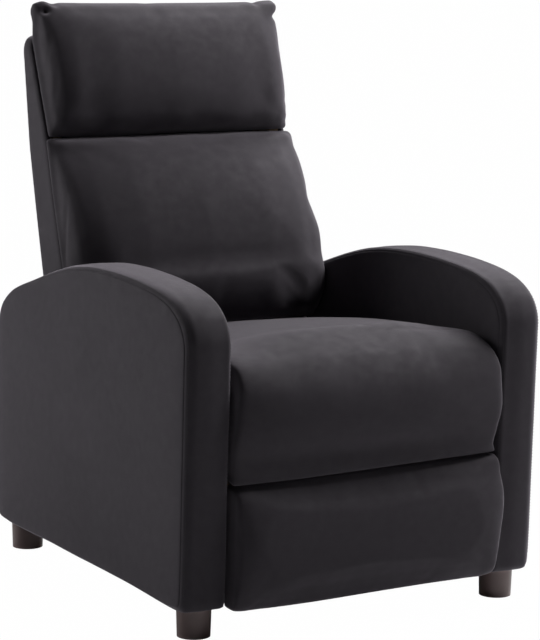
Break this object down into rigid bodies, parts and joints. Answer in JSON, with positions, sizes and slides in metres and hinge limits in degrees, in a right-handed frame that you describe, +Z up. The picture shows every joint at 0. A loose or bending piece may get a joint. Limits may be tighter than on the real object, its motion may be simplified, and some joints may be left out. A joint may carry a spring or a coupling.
{
  "type": "recliner armchair",
  "caption": "Padded recliner armchair: arms on short round feet, rolled seat, lumbar and head pillows, a back that tilts as the seat glides, and a linkage footrest.",
  "frame": {"origin": "on the floor, under the middle of the chair's box", "axes": "+Z up; the chair faces -Y; +X is the sitter's left"},
  "size_m": [0.68, 0.896, 1.0161],
  "materials": {
    "upholstery": "smooth charcoal upholstery cloth over foam, low sheen",
    "foot_plastic": "dark brown-black moulded plastic, semi-gloss",
    "plywood": "raw plywood, hidden",
    "pine": "planed softwood, hidden",
    "webbing": "elastic upholstery webbing",
    "zinc_fastener": "zinc plated steel",
    "spring_steel": "oil tempered spring wire",
    "black_steel": "black powder coated steel"
  },
  "bodies": {
    "base": {"front_right_foot": "foot_plastic", "front_left_foot": "foot_plastic", "rear_right_foot": "foot_plastic", "rear_left_foot": "foot_plastic", "foot_studs": "zinc_fastener", "right_arm_sill": "pine", "left_arm_sill": "pine", "right_arm_panel": "plywood", "left_arm_panel": "plywood", "right_arm_padding": "upholstery", "left_arm_padding": "upholstery", "front_stretcher": "pine", "rear_stretcher": "pine", "right_base_rail": "black_steel", "left_base_rail": "black_steel", "base_bolts": "zinc_fastener", "swing_base_pins": "zinc_fastener"},
    "rear_swing": {"right_rear_swing_link": "black_steel", "left_rear_swing_link": "black_steel"},
    "front_swing": {"right_front_swing_link": "black_steel", "left_front_swing_link": "black_steel"},
    "seat": {"right_seat_plate": "black_steel", "left_seat_plate": "black_steel", "seat_plate_bolts": "zinc_fastener", "seat_pivot_pins": "zinc_fastener", "right_seat_rail": "pine", "left_seat_rail": "pine", "seat_front_rail": "pine", "seat_rear_rail": "pine", "seat_springs": "spring_steel", "seat_cushion": "upholstery"},
    "backrest": {"right_back_bracket": "black_steel", "left_back_bracket": "black_steel", "back_bracket_bolts": "zinc_fastener", "right_back_post": "plywood", "left_back_post": "plywood", "back_bottom_rail": "pine", "back_middle_rail": "pine", "back_top_rail": "pine", "back_straps": "webbing", "back_cover": "upholstery", "lumbar_cushion": "upholstery", "head_cushion": "upholstery"},
    "main_footrest_links": {"right_main_footrest_link": "black_steel", "left_main_footrest_link": "black_steel", "footrest_torque_tube": "black_steel", "main_link_pins": "zinc_fastener"},
    "rear_footrest_links": {"right_rear_footrest_link": "black_steel", "left_rear_footrest_link": "black_steel", "rear_link_pins": "zinc_fastener"},
    "upper_footrest_links": {"right_upper_footrest_link": "black_steel", "left_upper_footrest_link": "black_steel"},
    "extension_links": {"right_extension_link": "black_steel", "left_extension_link": "black_steel"},
    "footrest": {"footrest_board": "plywood", "footrest_pad": "upholstery", "right_footrest_bracket": "black_steel", "left_footrest_bracket": "black_steel", "footrest_screws": "zinc_fastener", "footrest_pins": "zinc_fastener"}
  },
  "joints": [
    {"name": "recline", "type": "hinge", "parent": "base", "child": "rear_swing", "pos_m": [0, 0.06, 0.12], "axis": [1, 0, 0], "range_deg": [0, 35]},
    {"name": "front_swing_pivot", "type": "hinge", "parent": "base", "child": "front_swing", "pos_m": [0, -0.18, 0.12], "axis": [1, 0, 0], "range_deg": [0, 35]},
    {"name": "seat_carry", "type": "hinge", "parent": "rear_swing", "child": "seat", "pos_m": [0, 0.09458, 0.22968], "axis": [1, 0, 0], "range_deg": [-35, 0]},
    {"name": "back_tilt", "type": "hinge", "parent": "seat", "child": "backrest", "pos_m": [0, 0.205, 0.285], "axis": [-1, 0, 0], "range_deg": [0, 38]},
    {"name": "footrest_lift", "type": "hinge", "parent": "seat", "child": "main_footrest_links", "pos_m": [0, -0.27, 0.3], "axis": [-1, 0, 0], "range_deg": [0, 86]},
    {"name": "rear_link_pivot", "type": "hinge", "parent": "seat", "child": "rear_footrest_links", "pos_m": [0, -0.21732, 0.27128], "axis": [-1, 0, 0], "range_deg": [0, 86]},
    {"name": "upper_link_pivot", "type": "hinge", "parent": "main_footrest_links", "child": "upper_footrest_links", "pos_m": [0, -0.22117, 0.15817], "axis": [-1, 0, 0], "range_deg": [-86, 0]},
    {"name": "extension_link_pivot", "type": "hinge", "parent": "main_footrest_links", "child": "extension_links", "pos_m": [0, -0.20944, 0.12413], "axis": [-1, 0, 0], "range_deg": [-86, 0]},
    {"name": "footrest_pivot", "type": "hinge", "parent": "upper_footrest_links", "child": "footrest", "pos_m": [0, -0.36199, 0.23495], "axis": [-1, 0, 0], "range_deg": [0, 86]}
  ],
  "couplings": [
    {"joint": "front_swing_pivot", "follows": "recline", "ratio": 1},
    {"joint": "seat_carry", "follows": "recline", "ratio": -1},
    {"joint": "back_tilt", "follows": "recline", "ratio": 1.0857},
    {"joint": "rear_link_pivot", "follows": "footrest_lift", "ratio": 1},
    {"joint": "upper_link_pivot", "follows": "footrest_lift", "ratio": -1},
    {"joint": "extension_link_pivot", "follows": "footrest_lift", "ratio": -1},
    {"joint": "footrest_pivot", "follows": "footrest_lift", "ratio": 1}
  ]
}
